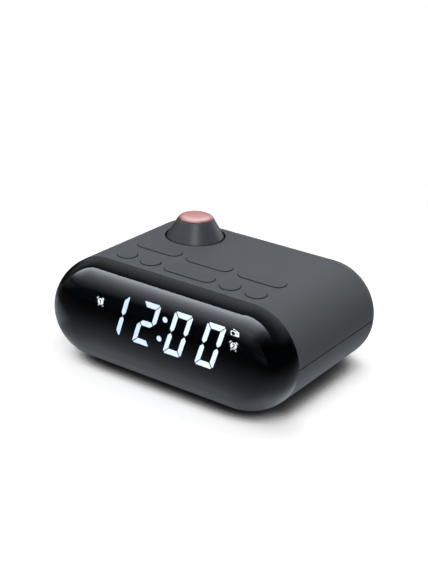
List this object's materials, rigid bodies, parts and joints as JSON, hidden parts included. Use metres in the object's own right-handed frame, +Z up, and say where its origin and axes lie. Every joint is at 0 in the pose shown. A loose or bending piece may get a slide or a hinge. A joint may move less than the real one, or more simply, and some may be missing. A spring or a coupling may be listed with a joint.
{
  "type": "projection alarm clock",
  "caption": "Capsule-shaped bedside alarm clock with a domed gloss front, a white digit display, low keys and a swivelling projector turret on top.",
  "frame": {"origin": "centre of the footprint, on the surface that the feet stand on", "axes": "+X to the right as the display is read, +Y to the rear, +Z up"},
  "size_m": [0.18, 0.1326, 0.0835],
  "materials": {
    "case_abs": "finely textured matt charcoal ABS",
    "turret_abs": "satin charcoal ABS",
    "key_abs": "matt charcoal ABS",
    "smoked_gloss": "polished smoked acrylic",
    "inner_black": "moulded black",
    "lit_segment": "light-filled epoxy, glowing white",
    "unlit_segment": "light-filled epoxy, unlit",
    "circuit_board": "green solder mask",
    "led_epoxy": "clear epoxy over phosphor",
    "red_led": "red epoxy",
    "can_sleeve": "heat-shrunk sleeve",
    "zinc_steel": "zinc-plated steel",
    "felt": "pressed felt",
    "lens_clear": "clear acrylic lit red from below",
    "slide_glass": "liquid-crystal cell",
    "cone_paper": "pressed paper",
    "ferrite": "sintered ferrite",
    "foam": "closed-cell foam",
    "cell_jacket": "printed film jacket, plain",
    "switch_nylon": "natural nylon",
    "soft_rubber": "matt rubber"
  },
  "bodies": {
    "clock_body": {"upper_case": "case_abs", "lower_case": "case_abs", "front_lens": "smoked_gloss", "display_bezel": "inner_black", "display_module": "inner_black", "lit_segments": "lit_segment", "unlit_segments": "unlit_segment", "colon_dots": "lit_segment", "indicator_icons": "lit_segment", "display_board": "circuit_board", "display_leds": "led_epoxy", "display_header": "inner_black", "display_screws": "zinc_steel", "main_board": "circuit_board", "key_switches": "inner_black", "board_chips": "inner_black", "capacitors": "can_sleeve", "board_screws": "zinc_steel", "speaker_frame": "zinc_steel", "speaker_cone": "cone_paper", "speaker_magnet": "ferrite", "speaker_gasket": "foam", "speaker_screws": "zinc_steel", "battery_cells": "cell_jacket", "battery_contacts": "zinc_steel", "dc_jack": "inner_black", "dc_jack_pin": "zinc_steel", "aerial_grommet": "soft_rubber", "feet": "soft_rubber", "case_screws": "zinc_steel"},
    "alarm_1_button": {"alarm_1_key": "key_abs", "alarm_1_plunger": "switch_nylon"},
    "hour_button": {"hour_key": "key_abs", "hour_plunger": "switch_nylon"},
    "snooze_button": {"snooze_key": "key_abs", "snooze_plunger": "switch_nylon"},
    "minute_button": {"minute_key": "key_abs", "minute_plunger": "switch_nylon"},
    "alarm_2_button": {"alarm_2_key": "key_abs", "alarm_2_plunger": "switch_nylon"},
    "projection_button": {"projection_key": "key_abs", "projection_plunger": "switch_nylon"},
    "radio_button": {"radio_key": "key_abs", "radio_plunger": "switch_nylon"},
    "volume_button": {"volume_key": "key_abs", "volume_plunger": "switch_nylon"},
    "turret": {"turret_cone": "turret_abs", "turret_base": "inner_black", "turret_clip": "zinc_steel", "turret_washer": "felt", "projection_lens": "lens_clear", "lens_barrel": "inner_black", "image_slide": "slide_glass", "condenser_lens": "lens_clear", "projector_led": "red_led", "projector_board": "circuit_board"},
    "door": {"battery_door": "case_abs"}
  },
  "joints": [
    {"name": "alarm_1_press", "type": "slide", "parent": "clock_body", "child": "alarm_1_button", "axis": [0, 0, -1], "range_m": [0, 0.0006], "stiffness_N_per_m": 800},
    {"name": "hour_press", "type": "slide", "parent": "clock_body", "child": "hour_button", "axis": [0, 0, -1], "range_m": [0, 0.0006], "stiffness_N_per_m": 800},
    {"name": "snooze_press", "type": "slide", "parent": "clock_body", "child": "snooze_button", "axis": [0, 0, -1], "range_m": [0, 0.0006], "stiffness_N_per_m": 800},
    {"name": "minute_press", "type": "slide", "parent": "clock_body", "child": "minute_button", "axis": [0, 0, -1], "range_m": [0, 0.0006], "stiffness_N_per_m": 800},
    {"name": "alarm_2_press", "type": "slide", "parent": "clock_body", "child": "alarm_2_button", "axis": [0, 0, -1], "range_m": [0, 0.0006], "stiffness_N_per_m": 800},
    {"name": "projection_press", "type": "slide", "parent": "clock_body", "child": "projection_button", "axis": [0, 0, -1], "range_m": [0, 0.0006], "stiffness_N_per_m": 800},
    {"name": "radio_press", "type": "slide", "parent": "clock_body", "child": "radio_button", "axis": [0, 0, -1], "range_m": [0, 0.0006], "stiffness_N_per_m": 800},
    {"name": "volume_press", "type": "slide", "parent": "clock_body", "child": "volume_button", "axis": [0, 0, -1], "range_m": [0, 0.0006], "stiffness_N_per_m": 800},
    {"name": "turret_swivel", "type": "hinge", "parent": "clock_body", "child": "turret", "pos_m": [-0.0371, 0.03235, 0.066], "axis": [0, 0, 1], "range_deg": [-90, 90]},
    {"name": "battery_door_hinge", "type": "hinge", "parent": "clock_body", "child": "door", "pos_m": [0.031, 0.02445, 0.0031], "axis": [1, 0, 0], "range_deg": [0, 90]}
  ]
}
